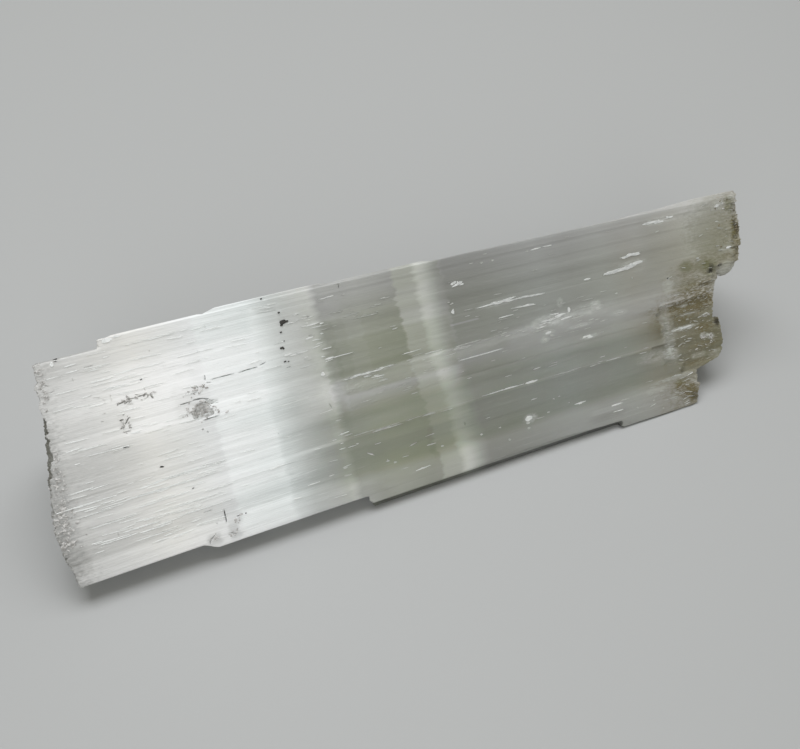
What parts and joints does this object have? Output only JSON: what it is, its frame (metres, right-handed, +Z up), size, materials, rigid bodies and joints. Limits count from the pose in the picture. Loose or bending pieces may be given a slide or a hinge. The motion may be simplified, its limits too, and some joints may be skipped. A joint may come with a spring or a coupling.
{
  "type": "selenite stick",
  "caption": "Raw fibrous selenite stick with a broad satin cleavage face, broken ends and a flat underside to rest on.",
  "frame": {"origin": "middle of the stick's bounding box, on the plane it rests on", "axes": "+X along the fibres from the raised left end to the stepped right end, +Y from the broad face's side to the back, +Z up"},
  "size_m": [0.2924, 0.0734, 0.0686],
  "materials": {
    "selenite": "satin, translucent, fibrous"
  },
  "bodies": {
    "root": {"selenite_stick": "selenite"}
  },
  "joints": []
}
